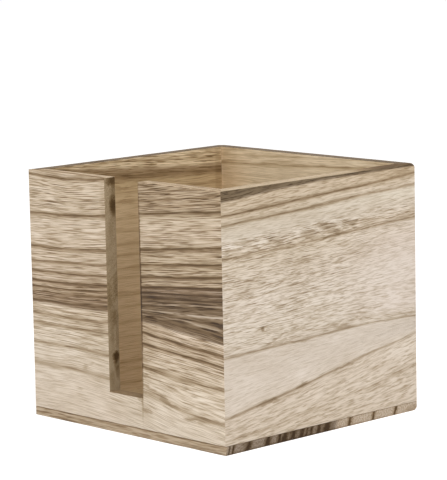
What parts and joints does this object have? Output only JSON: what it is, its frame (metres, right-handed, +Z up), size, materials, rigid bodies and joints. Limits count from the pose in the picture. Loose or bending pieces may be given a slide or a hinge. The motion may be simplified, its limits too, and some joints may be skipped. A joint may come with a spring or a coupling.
{
  "type": "napkin box",
  "caption": "Open-topped wooden box that holds folded paper napkins, with mitred corners and a slot down the front to thumb them out.",
  "frame": {"origin": "middle of the underside, on the plane that the box stands on", "axes": "+Z up, +X to the right along the slotted front, +Y from the slotted front to the plain back"},
  "size_m": [0.155, 0.15, 0.14],
  "materials": {
    "flamed_board": "brushed bare paulownia with a dark flamed band",
    "pale_board": "brushed bare paulownia, pale with fine dashes",
    "yellow_board": "brushed bare paulownia, straight even grain",
    "tan_board": "brushed bare paulownia with a darker band",
    "base_plank": "bare paulownia with dark rings in its end grain",
    "brad_wire": "plain drawn wire"
  },
  "bodies": {
    "root": {"front_panel": "flamed_board", "right_panel": "pale_board", "back_panel": "yellow_board", "left_panel": "tan_board", "base_board": "base_plank", "base_brads": "brad_wire"}
  },
  "joints": []
}
